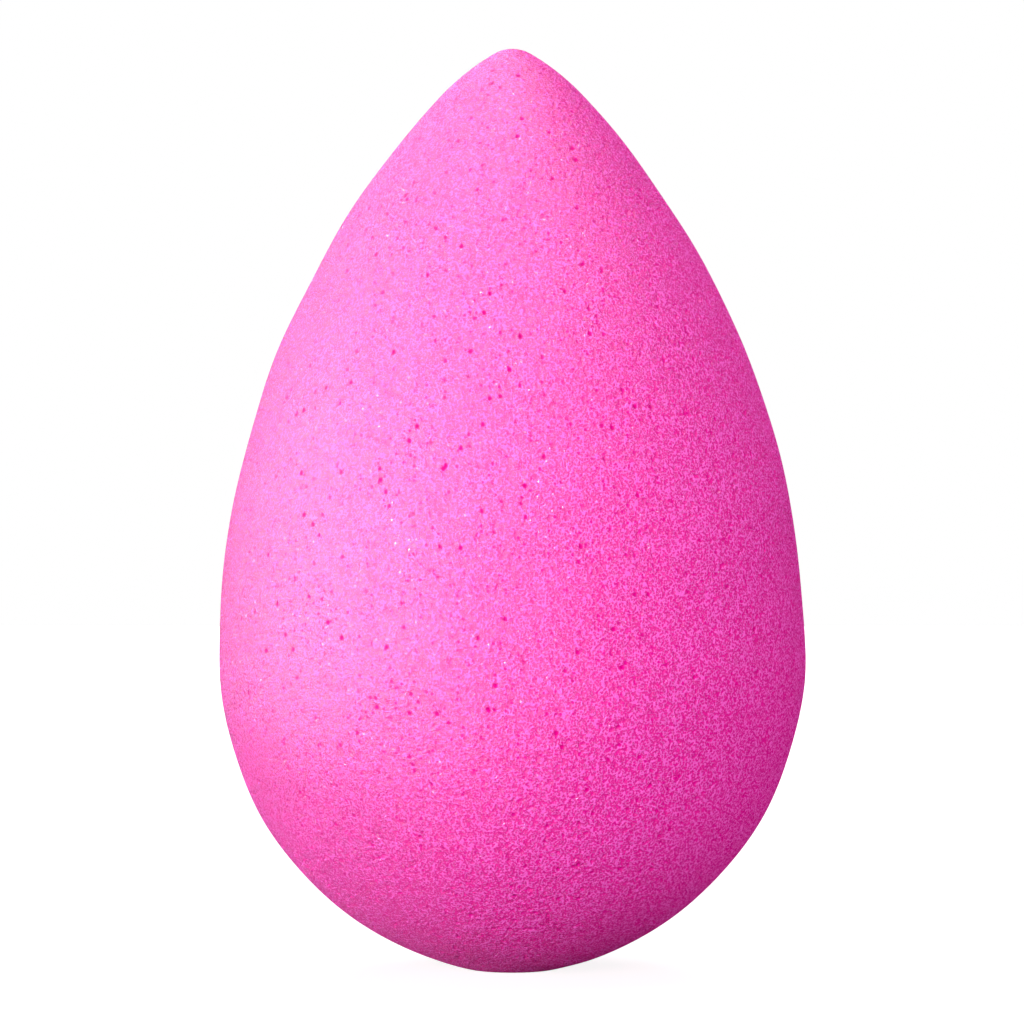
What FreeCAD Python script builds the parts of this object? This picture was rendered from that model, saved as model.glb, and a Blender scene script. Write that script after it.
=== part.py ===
"""Drop-shaped makeup sponge, made in one piece of soft open-celled foam.

Lengths are in millimetres and angles in degrees. The origin is the middle of the flat foot that
the sponge stands on, and +Z is its axis of revolution, from the foot up through the tip.
"""

import FreeCAD, Part
import math
import os

# Driving dimensions
height = 60.0            # from the foot to the tip
belly_diameter = 38.2    # across the widest section
belly_height = 20.3      # from the foot up to the widest section
foot_diameter = 6.0      # the flat where the foam settles under its own weight
foot_edge_angle = 13.0   # how steeply the rounded base leaves the floor at the edge of the foot
shoulder_radius = 15.0   # the quicker curve between the long flank and the tip
shoulder_turn = 17.0     # how far that curve turns the outline towards the axis
tip_radius = 2.4         # the rounding of the tip

outwards = FreeCAD.Vector(1, 0, 0)
upwards = FreeCAD.Vector(0, 0, 1)


def place(radius, level):
    """A point of the half outline, at a distance from the axis and a level above the foot."""
    return outwards * radius + upwards * level


def turned(angle):
    """The unit vector that points outwards, turned by an angle up and over towards the axis."""
    return place(math.cos(math.radians(angle)), math.sin(math.radians(angle)))


def tangent_arc(start, heading, end):
    """The arc that leaves start along heading and runs to end."""
    chord = end - start
    across = chord - heading * chord.dot(heading)
    radius = chord.Length ** 2 / (2 * across.Length)
    centre = start + across.normalize() * radius
    middle = start + chord / 2 - centre
    return Part.Arc(start, centre + middle.normalize() * radius, end).toShape()


def biarc_joint(start, start_heading, end, end_heading):
    """Where an arc from start and an arc into end meet, when both have equal tangents.

    The two tangents have one length, and their far ends lie twice that length apart: this gives
    a quadratic for the length. The arcs meet halfway between those far ends.
    """
    span = end - start
    along = span.dot(start_heading + end_heading)
    bend = 1 - start_heading.dot(end_heading)
    tangent = (math.sqrt(along ** 2 + 2 * bend * span.Length ** 2) - along) / (2 * bend)
    return (start + start_heading * tangent + end - end_heading * tangent) / 2


def half_outline():
    """The outline from the foot to the tip: a flat, then five arcs, each tangent to the next."""
    foot_centre = place(0, 0)
    foot_edge = place(foot_diameter / 2, 0)
    belly = place(belly_diameter / 2, belly_height)
    tip = place(0, height)
    tip_centre = place(0, height - tip_radius)

    # The heavy end is a base arc and a belly arc, from the edge of the foot to the widest section.
    base_joint = biarc_joint(foot_edge, turned(foot_edge_angle), belly, upwards)

    # Seen from the upper end of the flank, the tip's centre lies so far inside it and so far ahead.
    tip_inside = shoulder_radius - (shoulder_radius - tip_radius) * math.cos(math.radians(shoulder_turn))
    tip_ahead = (shoulder_radius - tip_radius) * math.sin(math.radians(shoulder_turn))

    # The flank is one arc that leaves the belly upright. Moved in by the first length, and with a
    # straight run of the second at both ends, it stays symmetric and reaches the tip's centre. So
    # the line between those ends leans by half of the flank's turn.
    lean = math.atan2(belly_diameter / 2 - tip_inside, height - tip_radius + tip_ahead - belly_height)
    flank_turn = 2 * math.degrees(lean)
    flank_heading = turned(flank_turn + 90)
    flank_end = tip_centre + turned(flank_turn) * tip_inside - flank_heading * tip_ahead
    tip_edge = tip_centre + turned(flank_turn + shoulder_turn) * tip_radius

    return [
        Part.LineSegment(foot_centre, foot_edge).toShape(),
        tangent_arc(foot_edge, turned(foot_edge_angle), base_joint),
        tangent_arc(belly, -upwards, base_joint),
        tangent_arc(belly, upwards, flank_end),
        tangent_arc(flank_end, flank_heading, tip_edge),
        tangent_arc(tip, outwards, tip_edge),
        Part.LineSegment(tip, foot_centre).toShape(),
    ]


def foam_body():
    """The whole sponge: the half outline turned once round the axis."""
    section = Part.Face(Part.Wire(half_outline()))
    return section.revolve(place(0, 0), upwards, 360)


os.makedirs("parts", exist_ok=True)
sponge = foam_body()
sponge.exportStep("parts/foam_body.step")
print("foam_body: volume %.0f mm3, faces %d, valid %s" % (sponge.Volume, len(sponge.Faces), sponge.isValid()))
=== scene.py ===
"""Drop-shaped makeup sponge of soft pink foam, standing on its rounded end on a white table.

Lengths are in metres and angles in radians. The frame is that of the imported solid: the origin is the
middle of the foot, +Z is the axis of revolution, and the camera stands on the -Y side.
"""

import math

import bpy
import numpy as np
from bpy.props import FloatProperty, FloatVectorProperty, IntProperty, PointerProperty
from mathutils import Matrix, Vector


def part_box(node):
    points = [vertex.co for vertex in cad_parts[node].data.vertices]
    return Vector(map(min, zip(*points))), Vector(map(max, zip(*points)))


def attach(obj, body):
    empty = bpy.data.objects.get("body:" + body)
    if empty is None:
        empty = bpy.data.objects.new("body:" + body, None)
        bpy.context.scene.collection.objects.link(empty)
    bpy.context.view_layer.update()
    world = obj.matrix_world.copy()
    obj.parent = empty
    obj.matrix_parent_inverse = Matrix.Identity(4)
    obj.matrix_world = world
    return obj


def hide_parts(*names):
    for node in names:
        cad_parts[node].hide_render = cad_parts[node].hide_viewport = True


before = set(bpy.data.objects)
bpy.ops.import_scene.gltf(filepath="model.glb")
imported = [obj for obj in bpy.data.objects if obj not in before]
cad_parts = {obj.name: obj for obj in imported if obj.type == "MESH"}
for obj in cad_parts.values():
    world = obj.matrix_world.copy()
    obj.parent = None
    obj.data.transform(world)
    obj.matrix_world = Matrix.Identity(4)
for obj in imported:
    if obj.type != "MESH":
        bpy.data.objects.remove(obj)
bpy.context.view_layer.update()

bl_info = {
    "name": "Makeup sponge",
    "version": (1, 0, 0),
    "blender": (4, 5, 0),
    "location": "View3D > Sidebar > Sponge",
    "description": "Makes a drop-shaped foam makeup sponge and the white table that it stands on",
    "category": "Add Mesh",
}

MM = 0.001
body_low, body_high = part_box("foam_body")

# Each lamp's azimuth from the camera's side and elevation, in degrees, its width and height, and its watts
PLAIN_BOXES = {
    "key": (-22, 8, 0.50, 0.20, 1.96),
    "right fill": (50, 8, 0.30, 0.20, 1.05),
    "back": (180, 40, 0.30, 0.30, 2.2),
    "top": (0, 80, 0.30, 0.30, 1.02),
    "low left": (-60, 2, 0.40, 0.05, 1.35),
}
# Lamps that show only in the gloss, with the same columns
SHINE_BOXES = {
    "side shine": (-95, 12, 0.60, 0.27, 100),
    "top shine": (0, 80, 0.40, 0.40, 110),
    "back shine": (-150, 45, 0.40, 0.40, 40),
    "low left shine": (-70, 2, 0.60, 0.06, 65),
    "low front shine": (-30, 2, 0.50, 0.06, 90),
}
# From each lamp to the middle of the sponge, and from the middle of the table to its edge
BOX_DISTANCE = 0.5
TABLE_HALF = 0.35

# Points on the foot and on each arc of the outline
FOOT_STEPS = 60
ARC_STEPS = 400

# The empty border inside each rectangle of the chart, as a share of its side
CHART_MARGIN = 0.01

# Levels above the foot at which the relief begins and is full
RELIEF_START = 0.05 * MM
RELIEF_FULL = 0.8 * MM

# The smallest pit as a share of the largest, and the power that makes the larger ones rarer
SMALLEST_PIT = 0.35
PIT_RARITY = 1.5

# How many waves make the slow rises and falls, and the shortest and longest as shares of their size
WAVES = 12
SHORTEST_WAVE = 0.7
LONGEST_WAVE = 1.6

# How deep in a pore of the mesh its painted shade begins and is full
PORE_START = 0.04
PORE_FULL = 0.25

# How far a speck can shrink, and where its soft edge ends, as shares of the largest radius
SPECK_SPREAD = 0.5
SPECK_CORE = 0.75

# The middle of a noise's range, and how many of its waves bend the pattern of cells in one cell's width
NOISE_MIDDLE = 0.5
BENDS_PER_CELL = 0.7


class SpongeShape(bpy.types.PropertyGroup):
    """The sizes of the outline, which are those of the solid."""

    height: FloatProperty(
        name="Height", description="From the foot to the tip",
        default=body_high[2] - body_low[2], unit="LENGTH")
    belly_diameter: FloatProperty(
        name="Belly diameter", description="Across the widest section",
        default=body_high[0] - body_low[0], unit="LENGTH")
    belly_height: FloatProperty(
        name="Belly height", description="From the foot up to the widest section",
        default=20.3 * MM, unit="LENGTH")
    foot_diameter: FloatProperty(
        name="Foot diameter", description="The flat where the foam settles under its own weight",
        default=6.0 * MM, unit="LENGTH")
    foot_edge_angle: FloatProperty(
        name="Foot edge angle", description="How steeply the rounded base leaves the floor",
        default=math.radians(13), subtype="ANGLE")
    shoulder_radius: FloatProperty(
        name="Shoulder radius", description="The quicker curve between the long flank and the tip",
        default=15.0 * MM, unit="LENGTH")
    shoulder_turn: FloatProperty(
        name="Shoulder turn", description="How far that curve turns the outline towards the axis",
        default=math.radians(17), subtype="ANGLE")
    tip_radius: FloatProperty(
        name="Tip radius", description="The rounding of the tip",
        default=2.4 * MM, unit="LENGTH")


class FoamRelief(bpy.types.PropertyGroup):
    """The open cells of the foam, as pits in the surface."""

    side_squares: IntProperty(
        name="Squares along a side", description="Mesh squares along each side of the wrapped cube",
        default=320)
    seed: IntProperty(
        name="Seed", description="Picks one scatter of pits out of many", default=7)
    cell_spacing: FloatProperty(
        name="Cell spacing", description="Between the small open cells",
        default=0.29 * MM, unit="LENGTH")
    cell_radius: FloatProperty(
        name="Cell radius", description="Of the largest small cells",
        default=0.18 * MM, unit="LENGTH")
    cell_depth: FloatProperty(
        name="Cell depth", description="Of the largest small cells",
        default=0.12 * MM, unit="LENGTH")
    pore_spacing: FloatProperty(
        name="Pore spacing", description="Between the large pores",
        default=0.68 * MM, unit="LENGTH")
    pore_radius: FloatProperty(
        name="Pore radius", description="Of the largest pores",
        default=0.19 * MM, unit="LENGTH")
    pore_depth: FloatProperty(
        name="Pore depth", description="Of the largest pores",
        default=0.26 * MM, unit="LENGTH")
    swell_size: FloatProperty(
        name="Swell size", description="Across the slow rises and falls left by grinding",
        default=9.0 * MM, unit="LENGTH")
    swell_depth: FloatProperty(
        name="Swell depth", description="Of those rises and falls",
        default=0.06 * MM, unit="LENGTH")


class FoamFinish(bpy.types.PropertyGroup):
    """The colours of the foam, with painted shade in its pits and pores, and its gloss."""

    wall_colour: FloatVectorProperty(
        name="Wall colour", description="The thin walls between the cells",
        default=(1.0, 0.105, 0.63), subtype="COLOR", size=3, min=0, max=1)
    # Painted shade: a darker, more saturated pink that stands in for the shadow and the pink-to-pink
    # bounces inside the cells
    pit_shade_colour: FloatVectorProperty(
        name="Pit colour", description="The cells, where light bounces from pink to pink",
        default=(0.84, 0.001, 0.31), subtype="COLOR", size=3, min=0, max=1)
    # Painted shade: a dark pink that stands in for the shadow deep inside a pore
    pore_shade_colour: FloatVectorProperty(
        name="Pore colour", description="The depth of a large pore",
        default=(0.72, 0.001, 0.27), subtype="COLOR", size=3, min=0, max=1)
    roughness: FloatProperty(
        name="Roughness", description="Of the thin film of gloss", default=0.52, min=0, max=1)
    wall_gloss: FloatProperty(
        name="Wall gloss", description="Thin film of gloss on the walls", default=0.0143, min=0, max=1)
    cell_size: FloatProperty(
        name="Cell size", description="Between the finest cells",
        default=0.14 * MM, unit="LENGTH")
    cell_bend: FloatProperty(
        name="Cell bend", description="How far the cells are bent, in cell sizes", default=0.5)
    fine_size: FloatProperty(
        name="Fine size", description="Of the finest noise", default=0.09 * MM, unit="LENGTH")
    ragged: FloatProperty(
        name="Ragged", description="How far the finest noise frays the edges of the cells", default=0.4)
    dimple_share: FloatProperty(
        name="Dimple share", description="How far the cells of the mesh deepen the pits", default=0.6)
    pit_start: FloatProperty(
        name="Pit start", description="Where the wall begins to fall, in cell sizes from the middle",
        default=0.60)
    pit_floor: FloatProperty(
        name="Pit floor", description="Where the pit is deepest, in cell sizes from the middle",
        default=0.44)
    grain_depth: FloatProperty(
        name="Grain depth", description="Of the finest relief", default=0.11 * MM, unit="LENGTH")
    fine_share: FloatProperty(
        name="Fine share", description="Of the finest noise in the relief", default=1.0)
    pit_share: FloatProperty(
        name="Pit share", description="Of the pits in the relief", default=0.5)
    film_index: FloatProperty(
        name="Film index", description="High, so that the gloss grows little at a flat angle",
        default=2.2, min=1, max=4)
    film_share: FloatProperty(
        name="Film share", description="Of the grain that the film of gloss follows",
        default=0.6, min=0, max=1)
    pit_gloss: FloatProperty(
        name="Pit gloss", description="What the pits add to the wall gloss",
        default=0.012, min=0, max=1)
    fleck_gloss: FloatProperty(
        name="Fleck gloss", description="Of the torn walls that glint", default=0.17, min=0, max=1)
    fleck_spacing: FloatProperty(
        name="Fleck spacing", description="Between the torn walls that glint",
        default=0.50 * MM, unit="LENGTH")
    fleck_radius: FloatProperty(
        name="Fleck radius", description="Of the largest torn walls that glint",
        default=0.065 * MM, unit="LENGTH")
    # The specks are dark dots of painted shade: pores finer than the mesh, with no relief under them
    speck_spacing: FloatProperty(
        name="Speck spacing", description="Between the pores that are finer than the mesh",
        default=0.38 * MM, unit="LENGTH")
    speck_radius: FloatProperty(
        name="Speck radius", description="Of the largest of those pores",
        default=0.11 * MM, unit="LENGTH")


class Studio(bpy.types.PropertyGroup):
    """The camera and the lamps."""

    view_span: FloatProperty(
        name="View span", description="Width of the picture at the sponge",
        default=66.84 * MM, unit="LENGTH")
    view_height: FloatProperty(
        name="View height", description="Of the point that the camera looks at",
        default=29.84 * MM, unit="LENGTH")
    view_elevation: FloatProperty(
        name="View elevation", description="How far above the level the camera looks down from",
        default=math.radians(2.5), subtype="ANGLE")
    lens: FloatProperty(
        name="Lens", description="Focal length in millimetres", default=200)
    light_level: FloatProperty(
        name="Light level", description="Factor on the plain soft boxes", default=1.0)
    shine_level: FloatProperty(
        name="Shine level", description="Factor on the soft boxes that show only in the gloss",
        default=1.0)
    room_level: FloatProperty(
        name="Room level", description="Brightness of the white room as a light", default=0.22)
    table_level: FloatProperty(
        name="Table level", description="How much plain light the table sends back", default=0.35)
    table_glow: FloatProperty(
        name="Table glow", description="What the table adds where it is seen directly", default=0.85)


def turned(angle):
    """The unit vector that points outwards, turned up and over towards the axis, as a complex number."""
    return complex(math.cos(angle), math.sin(angle))


def along(first, second):
    """The length of one complex vector along another of unit length."""
    return (first * second.conjugate()).real


def arc(start, heading, end):
    """Points on the arc that leaves start along heading and runs to end.

    The chord to the point at a share of the arc leaves at the heading turned by that share of half the
    arc's turn, and its length grows as the sine of that angle.
    """
    chord = end - start
    half = np.angle(chord / heading)
    angle = np.linspace(0, 1, ARC_STEPS) * half
    return start + abs(chord) * np.sin(angle) / np.sin(half) * heading * np.exp(1j * angle)


def biarc_joint(start, start_heading, end, end_heading):
    """Where an arc from start and an arc into end meet, when both have equal tangents."""
    span = end - start
    ahead = along(span, start_heading) + along(span, end_heading)
    bend = 1 - along(start_heading, end_heading)
    tangent = (math.sqrt(ahead ** 2 + 2 * bend * abs(span) ** 2) - ahead) / (2 * bend)
    return (start + start_heading * tangent + end - end_heading * tangent) / 2


def half_outline(shape):
    """Points from the middle of the foot to the tip, as complex numbers: radius plus i times level.

    A flat and five arcs, each tangent to the next: base, belly, flank, shoulder and tip. The flank leaves
    the belly upright. Its turn follows from where the tip's centre lies, seen from the flank's upper end.
    """
    foot_edge = complex(shape.foot_diameter / 2, 0)
    belly = complex(shape.belly_diameter / 2, shape.belly_height)
    tip = complex(0, shape.height)
    tip_centre = complex(0, shape.height - shape.tip_radius)
    base_heading = turned(shape.foot_edge_angle)
    base_joint = biarc_joint(foot_edge, base_heading, belly, 1j)

    inset = shape.shoulder_radius - shape.tip_radius
    tip_inside = shape.shoulder_radius - inset * math.cos(shape.shoulder_turn)
    tip_ahead = inset * math.sin(shape.shoulder_turn)
    flank_rise = tip_centre.imag + tip_ahead - belly.imag
    flank_turn = 2 * math.atan2(belly.real - tip_inside, flank_rise)
    flank_heading = 1j * turned(flank_turn)
    flank_end = tip_centre + turned(flank_turn) * tip_inside - flank_heading * tip_ahead
    tip_edge = tip_centre + turned(flank_turn + shape.shoulder_turn) * shape.tip_radius

    return np.concatenate([
        np.linspace(0, foot_edge, FOOT_STEPS),
        arc(foot_edge, base_heading, base_joint),
        arc(belly, -1j, base_joint)[::-1],
        arc(belly, 1j, flank_end),
        arc(flank_end, flank_heading, tip_edge),
        arc(tip, 1, tip_edge)[::-1],
    ])


def wrapped_cube(squares):
    """A cube's surface lattice: whole-number corners, faces that point outwards, and a place on a chart.

    Each side is a grid of squares. Corners on an edge belong to two or three sides, and become one vertex.
    The chart gives each side its own rectangle, three in a row and two rows.
    """
    step = np.arange(squares + 1)
    down, across = np.meshgrid(step, step, indexing="ij")
    corner = (down * (squares + 1) + across)[:-1, :-1].ravel()
    ring = np.stack([corner, corner + squares + 1, corner + squares + 2, corner + 1], axis=1)
    points = []
    faces = []
    charts = []
    for side in range(6):
        axis = side % 3
        far = side // 3
        lattice = np.empty((down.size, 3), dtype=np.int64)
        lattice[:, axis] = far * squares
        lattice[:, (axis + 1) % 3] = down.ravel()
        lattice[:, (axis + 2) % 3] = across.ravel()
        points.append(lattice)
        faces.append((ring if far else ring[:, ::-1]) + side * down.size)
        chart = np.stack([down.ravel(), across.ravel()], axis=1) / squares
        inner = CHART_MARGIN + chart * (1 - 2 * CHART_MARGIN)
        charts.append((np.array([axis, far]) + inner) / np.array([3, 2]))
    points = np.concatenate(points)
    faces = np.concatenate(faces)
    chart = np.concatenate(charts)[faces.ravel()]
    key = (points[:, 0] * (squares + 1) + points[:, 1]) * (squares + 1) + points[:, 2]
    _, kept, joined = np.unique(key, return_index=True, return_inverse=True)
    return points[kept], joined[faces], chart


def drop_surface(shape, lattice, squares):
    """The cube's lattice carried onto the drop: places and outward normals.

    Each corner's direction is evened out by a tangent, so that the squares come out alike on a sphere. The
    share of the sphere below the corner is then the share of the drop below its place, which keeps
    the squares about equal all over. The normal is the outline's heading turned outwards.
    """
    direction = np.tan((2 * lattice / squares - 1) * math.pi / 4)
    direction /= np.linalg.norm(direction, axis=1)[:, None]
    outline = half_outline(shape)
    run = np.abs(np.diff(outline))
    area = np.concatenate([[0], np.cumsum(run * (outline.real[1:] + outline.real[:-1]))])
    share = (direction[:, 2] + 1) / 2 * area[-1]
    radius = np.interp(share, area, outline.real)
    level = np.interp(share, area, outline.imag)
    heading = np.unwrap(np.angle(np.gradient(outline)))
    slope = np.interp(share, area, heading)
    spread = np.hypot(direction[:, 0], direction[:, 1])
    spread[spread == 0] = 1
    round_x = direction[:, 0] / spread
    round_y = direction[:, 1] / spread
    place = np.stack([radius * round_x, radius * round_y, level], axis=1)
    normal = np.stack([np.sin(slope) * round_x, np.sin(slope) * round_y, -np.cos(slope)], axis=1)
    return place, normal


def pits(place, spacing, largest, rng):
    """How deep each place lies in the pits of a scatter, from 0 outside to 1 in the middle of a large one.

    Space is cut into cubes, each with one ball at a random place, of a random size up to the largest. A
    place inside a ball gets the bowl (1 - (distance / radius) squared) squared, times the ball's share
    of the largest size, and where balls overlap the deeper one wins.
    """
    cube = np.floor(place / spacing).astype(np.int64)
    cube -= cube.min(axis=0) - 1
    local = place / spacing - np.floor(place / spacing)
    size = cube.max(axis=0) + 2
    centre = rng.random((*size, 3), dtype=np.float32)
    drawn = rng.random(size, dtype=np.float32) ** PIT_RARITY
    radius = largest / spacing * (SMALLEST_PIT + (1 - SMALLEST_PIT) * drawn)
    deepest = np.zeros(len(place))
    for step in np.ndindex(3, 3, 3):
        offset = np.array(step) - 1
        x, y, z = (cube + offset).T
        gap = centre[x, y, z] + offset - local
        ball = radius[x, y, z]
        inside = np.clip(1 - (gap ** 2).sum(axis=1) / ball ** 2, 0, None)
        np.maximum(deepest, inside ** 2 * ball * spacing / largest, out=deepest)
    return deepest


def swell(place, size, rng):
    """Slow rises and falls, nearly all from -1 to 1: plane waves in random directions, added up.

    The usual size of the sum is the root of half their number, and twice that brings it to this range.
    """
    total = np.zeros(len(place))
    for _ in range(WAVES):
        direction = rng.normal(size=3)
        direction /= np.linalg.norm(direction)
        turns = place @ direction / (size * rng.uniform(SHORTEST_WAVE, LONGEST_WAVE))
        total += np.sin(2 * math.pi * (turns + rng.random()))
    return total / math.sqrt(WAVES / 2) / 2


def smooth_step(value, low, high):
    """0 below low, 1 above high, and a soft rise between them."""
    share = np.clip((value - low) / (high - low), 0, 1)
    return share * share * (3 - 2 * share)


def foam_mesh(shape, relief):
    """The drop with its open cells: the smooth surface pushed in along its normals by the pits.

    The pits fade out just above the foot, which stays flat. How deep each vertex lies in a large pore and
    in a small cell is kept as the attributes pore and cell, for the painted shade in the colour.
    """
    rng = np.random.default_rng(relief.seed)
    lattice, faces, chart = wrapped_cube(relief.side_squares)
    place, normal = drop_surface(shape, lattice, relief.side_squares)
    cells = pits(place, relief.cell_spacing, relief.cell_radius, rng)
    pores = pits(place, relief.pore_spacing, relief.pore_radius, rng)
    rise = swell(place, relief.swell_size, rng) * relief.swell_depth
    free = smooth_step(place[:, 2], RELIEF_START, RELIEF_FULL)
    height = (rise - cells * relief.cell_depth - pores * relief.pore_depth) * free
    place = place + normal * height[:, None]

    mesh = bpy.data.meshes.new("foam_drop")
    mesh.from_pydata(place, [], faces)
    mesh.shade_smooth()
    mesh.uv_layers.new(name="OFBake").uv.foreach_set("vector", chart.astype(np.float32).ravel())
    pore = mesh.attributes.new("pore", "FLOAT", "POINT")
    pore.data.foreach_set("value", (pores * free).astype(np.float32))
    cell = mesh.attributes.new("cell", "FLOAT", "POINT")
    cell.data.foreach_set("value", (cells * free).astype(np.float32))
    return mesh


class Value:
    """An output socket, with arithmetic: each sign in an expression adds a Math node."""

    def __init__(self, graph, socket):
        self.graph = graph
        self.socket = socket

    def maths(self, operation, first, second):
        return self.graph.node("Math", {"operation": operation}, {0: first, 1: second})

    def __add__(self, other):
        return self.maths("ADD", self, other)

    def __radd__(self, other):
        return self.maths("ADD", other, self)

    def __sub__(self, other):
        return self.maths("SUBTRACT", self, other)

    def __rsub__(self, other):
        return self.maths("SUBTRACT", other, self)

    def __mul__(self, other):
        return self.maths("MULTIPLY", self, other)

    def __rmul__(self, other):
        return self.maths("MULTIPLY", other, self)


class Graph:
    """The node tree of a material or a world, filled by expressions."""

    def __init__(self, owner):
        owner.use_nodes = True
        self.tree = owner.node_tree
        self.tree.nodes.clear()

    def node(self, kind, settings=None, sockets=None, output=0):
        """Adds a node: its settings first, then the values or links of its sockets.

        Returns one output, or all of them by name where output is None.
        """
        made = self.tree.nodes.new("ShaderNode" + kind)
        for name, setting in (settings or {}).items():
            setattr(made, name, setting)
        for name, value in (sockets or {}).items():
            if isinstance(value, Value):
                self.tree.links.new(value.socket, made.inputs[name])
            else:
                made.inputs[name].default_value = value
        if output is None:
            return {socket.name: Value(self, socket) for socket in made.outputs}
        return Value(self, made.outputs[output]) if made.outputs else None

    def larger(self, first, second):
        """The larger of two values."""
        return self.node("Math", {"operation": "MAXIMUM"}, {0: first, 1: second})

    def blend(self, share, first, second):
        """A colour between two others, through a Mix node."""
        return self.node("Mix", {"data_type": "RGBA"}, {0: share, 6: first, 7: second}, output=2)

    def ramp(self, value, low, high):
        """0 below low, 1 above high, and a soft rise between them. It falls if low is above high."""
        limits = {"Value": value, "From Min": low, "From Max": high}
        return self.node("MapRange", {"interpolation_type": "SMOOTHSTEP"}, limits)


def opaque(colour):
    """A colour with its alpha, as a socket takes it."""
    return (*colour, 1)


def specks(graph, place, spacing, radius):
    """A scatter of small balls: 1 inside and 0 outside, each smaller than the radius by its own share."""
    balls = graph.node("TexVoronoi", {"feature": "F1"}, {
        "Vector": place,
        "Scale": MM / spacing,
    }, output=None)
    lottery = graph.node("SeparateColor", {}, {"Color": balls["Color"]})
    edge = radius / spacing
    return graph.ramp(balls["Distance"] + lottery * (edge * SPECK_SPREAD), edge, edge * SPECK_CORE)


def foam_material(finish):
    """Open-celled foam: pale walls round pits with painted shade, matt pores with painted shade, and torn
    walls that glint.

    The finest cells are a cellular pattern, deep in the middle of each one, bent by a noise so that no two
    are alike. They feed the painted shade in the colour, the bump and a thin film of gloss, which follows
    a share of the bump.
    The pores are the large ones of the mesh and a scatter of specks that are finer than the mesh. Both are
    painted a dark, saturated pink that stands in for the shade inside them.
    """
    material = bpy.data.materials.new("soft_foam")
    graph = Graph(material)
    metres = graph.node("TexCoord", output="Object")
    place = graph.node("VectorMath", {"operation": "SCALE"}, {0: metres, "Scale": 1 / MM})
    pore = graph.node("Attribute", {"attribute_name": "pore"}, output="Fac")
    dimple = graph.node("Attribute", {"attribute_name": "cell"}, output="Fac")
    cell = finish.cell_size / MM

    bend = graph.node("TexNoise", {}, {
        "Vector": place,
        "Scale": BENDS_PER_CELL / cell,
        "Detail": 1.0,
    }, output="Color")
    bent = graph.node("VectorMath", {"operation": "MULTIPLY_ADD"},
                      {0: bend, 1: (cell * finish.cell_bend,) * 3, 2: place})
    hollow = graph.node("TexVoronoi", {"feature": "F1"}, {"Vector": bent, "Scale": 1 / cell})
    fine = graph.node("TexNoise", {}, {"Vector": place, "Scale": MM / finish.fine_size, "Detail": 1.0})
    frayed = hollow + (fine - NOISE_MIDDLE) * finish.ragged - dimple * finish.dimple_share
    pit = graph.ramp(frayed, finish.pit_start, finish.pit_floor)
    fleck = specks(graph, place, finish.fleck_spacing, finish.fleck_radius)
    speck = specks(graph, bent, finish.speck_spacing, finish.speck_radius)
    # Painted shade: the pores of the mesh and the specks take the dark pore colour
    pore_shade_mask = graph.larger(graph.ramp(pore, PORE_START, PORE_FULL), speck)

    grain = fine * finish.fine_share - pit * finish.pit_share
    bump = graph.node("Bump", {}, {"Strength": 1.0, "Distance": finish.grain_depth, "Height": grain})
    film = graph.node("Bump", {}, {
        "Strength": 1.0,
        "Distance": finish.grain_depth * finish.film_share,
        "Height": grain,
    })
    skin = graph.node("BsdfPrincipled", {}, {
        # Painted shade: the pits take the darker pit colour in place of the shade inside them
        "Base Color": graph.blend(pit, opaque(finish.wall_colour), opaque(finish.pit_shade_colour)),
        "Roughness": finish.roughness,
        "Normal": bump,
        "Specular IOR Level": 0.0,
        "Coat Weight": finish.wall_gloss + pit * finish.pit_gloss + fleck * finish.fleck_gloss,
        "Coat Roughness": finish.roughness,
        "Coat IOR": finish.film_index,
        "Coat Normal": film,
    })
    # Matt, with the dark pore colour painted as the shade inside a pore
    shaded_hole = graph.node("BsdfPrincipled", {}, {
        "Base Color": opaque(finish.pore_shade_colour),
        "Roughness": 1.0,
        "Specular IOR Level": 0.0,
    })
    foam = graph.node("MixShader", {}, {0: pore_shade_mask, 1: skin, 2: shaded_hole})
    graph.node("OutputMaterial", {}, {"Surface": foam})
    return material


def seen_directly(graph):
    """1 for the camera's rays and for rays from gloss and glass, 0 for the rays of plain light."""
    rays = graph.node("LightPath", output=None)
    shown = graph.larger(rays["Is Camera Ray"], rays["Is Glossy Ray"])
    return graph.larger(shown, rays["Is Transmission Ray"])


def white_table(look):
    """A white table: seen directly it nearly glows, and keeps the shadow under the sponge."""
    material = bpy.data.materials.new("white_table")
    material.cycles.emission_sampling = "NONE"
    graph = Graph(material)
    level = look.table_level
    paint = graph.node("BsdfDiffuse", {}, {"Color": (level, level, level, 1)})
    glow = graph.node("Emission", {}, {"Strength": seen_directly(graph) * look.table_glow})
    top = graph.node("AddShader", {}, {0: paint, 1: glow})
    graph.node("OutputMaterial", {}, {"Surface": top})
    return material


def white_room(level):
    """A white world: white to the camera and in reflections, and a plain level as a light."""
    world = bpy.data.worlds.new("white_room")
    graph = Graph(world)
    strength = level + seen_directly(graph) * (1 - level)
    glow = graph.node("Background", {}, {"Color": (1, 1, 1, 1), "Strength": strength})
    graph.node("OutputWorld", {}, {"Surface": glow})
    return world


def stand_off(target, azimuth, elevation, distance):
    """The place at a distance from the target, round from the camera's side and up."""
    level = math.cos(elevation)
    away = Vector((level * math.sin(azimuth), -level * math.cos(azimuth), math.sin(elevation)))
    return target + away * distance


def aim(thing, place, target):
    """Puts a lamp or a camera at a place, looking at the target."""
    thing.location = place
    thing.rotation_euler = (target - place).to_track_quat("-Z", "Y").to_euler()
    bpy.context.scene.collection.objects.link(thing)


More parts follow.
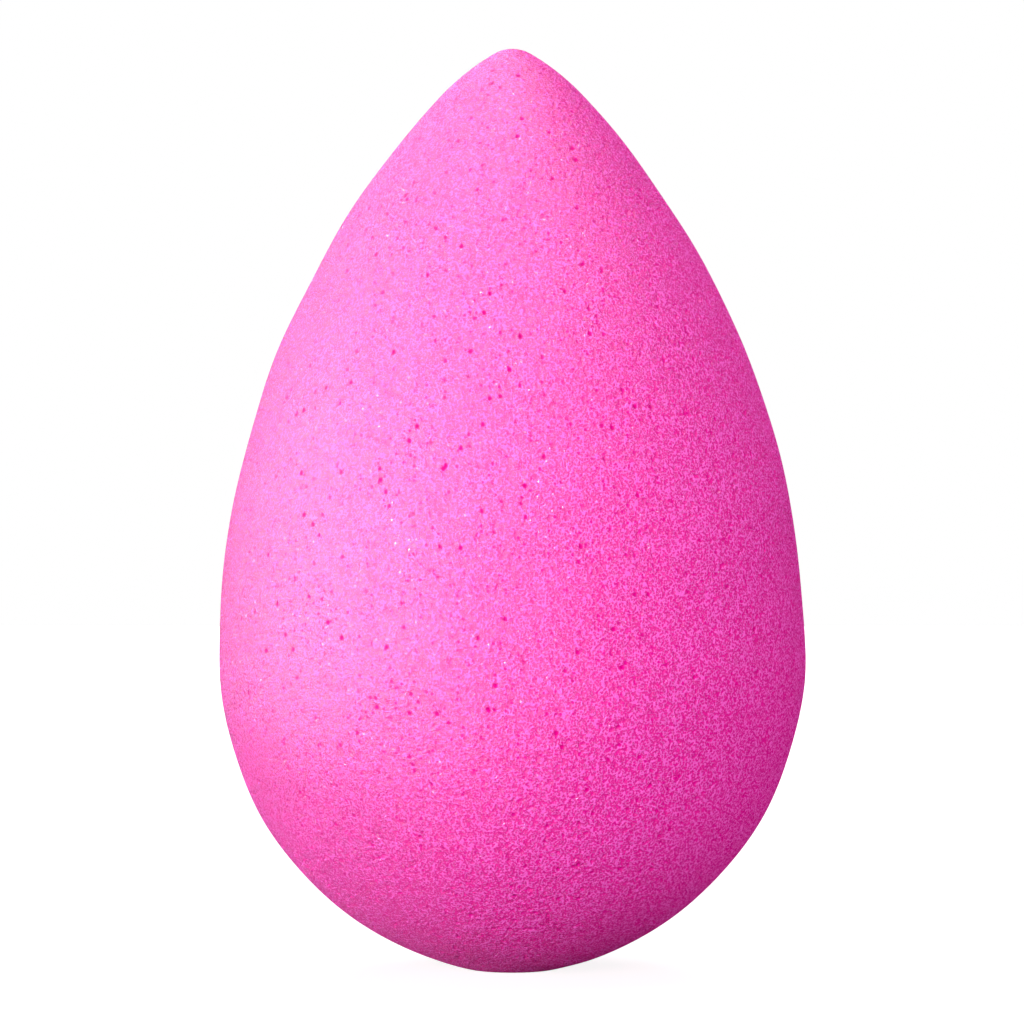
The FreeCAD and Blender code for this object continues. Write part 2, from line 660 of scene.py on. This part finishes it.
def soft_box(name, target, lamp_setting, factor):
    """A rectangular lamp that faces the target, from a row of the table of lamps."""
    azimuth, elevation, width, height, power = lamp_setting
    lamp = bpy.data.lights.new(name, "AREA")
    lamp.shape = "RECTANGLE"
    lamp.size = width
    lamp.size_y = height
    lamp.energy = power * factor
    place = stand_off(target, math.radians(azimuth), math.radians(elevation), BOX_DISTANCE)
    box = bpy.data.objects.new(name, lamp)
    aim(box, place, target)
    return box


class SPONGE_OT_foam_body(bpy.types.Operator):
    """Make the foam drop with its open cells"""

    bl_idname = "sponge.foam_body"
    bl_label = "Foam body"

    def execute(self, context):
        scene = context.scene
        mesh = foam_mesh(scene.sponge_shape, scene.sponge_relief)
        mesh.materials.append(foam_material(scene.sponge_finish))
        piece = bpy.data.objects.new("foam_drop", mesh)
        scene.collection.objects.link(piece)
        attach(piece, "root")
        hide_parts("foam_body")
        return {"FINISHED"}


class SPONGE_OT_stage(bpy.types.Operator):
    """Make the white table, the soft light and the camera"""

    bl_idname = "sponge.stage"
    bl_label = "Table, light and camera"

    def execute(self, context):
        scene = context.scene
        look = scene.sponge_studio
        signs = ((-1, -1), (1, -1), (1, 1), (-1, 1))
        corners = [(x * TABLE_HALF, y * TABLE_HALF, 0) for x, y in signs]
        mesh = bpy.data.meshes.new("table")
        mesh.from_pydata(corners, [], [(0, 1, 2, 3)])
        mesh.materials.append(white_table(look))
        table = bpy.data.objects.new("table", mesh)
        scene.collection.objects.link(table)

        middle = Vector((0, 0, scene.sponge_shape.height / 2))
        scene.world = white_room(look.room_level)
        for name, setting in PLAIN_BOXES.items():
            soft_box(name, middle, setting, look.light_level)
        for name, setting in SHINE_BOXES.items():
            soft_box(name, middle, setting, look.shine_level).visible_diffuse = False

        lens = bpy.data.cameras.new("camera")
        lens.lens = look.lens
        camera = bpy.data.objects.new("camera", lens)
        distance = look.view_span * look.lens / lens.sensor_width
        seen = Vector((0, 0, look.view_height))
        aim(camera, stand_off(seen, 0, look.view_elevation, distance), seen)
        scene.camera = camera
        scene.view_settings.view_transform = "Standard"
        return {"FINISHED"}


class SPONGE_PT_maker(bpy.types.Panel):
    """The sidebar panel that lists the pieces and their sizes"""

    bl_idname = "SPONGE_PT_maker"
    bl_label = "Makeup sponge"
    bl_space_type = "VIEW_3D"
    bl_region_type = "UI"
    bl_category = "Sponge"

    def draw(self, context):
        for operator in (SPONGE_OT_foam_body, SPONGE_OT_stage):
            self.layout.operator(operator.bl_idname)
        for name in GROUPS:
            group = getattr(context.scene, name)
            for setting in group.__annotations__:
                self.layout.prop(group, setting)


GROUPS = {
    "sponge_shape": SpongeShape,
    "sponge_relief": FoamRelief,
    "sponge_finish": FoamFinish,
    "sponge_studio": Studio,
}
CLASSES = (*GROUPS.values(), SPONGE_OT_foam_body, SPONGE_OT_stage, SPONGE_PT_maker)


def register():
    for part in CLASSES:
        bpy.utils.register_class(part)
    for name, group in GROUPS.items():
        setattr(bpy.types.Scene, name, PointerProperty(type=group))


def unregister():
    for name in GROUPS:
        delattr(bpy.types.Scene, name)
    for part in reversed(CLASSES):
        bpy.utils.unregister_class(part)


def main():
    register()
    bpy.ops.sponge.foam_body()
    bpy.ops.sponge.stage()


if __name__ == "__main__":
    main()
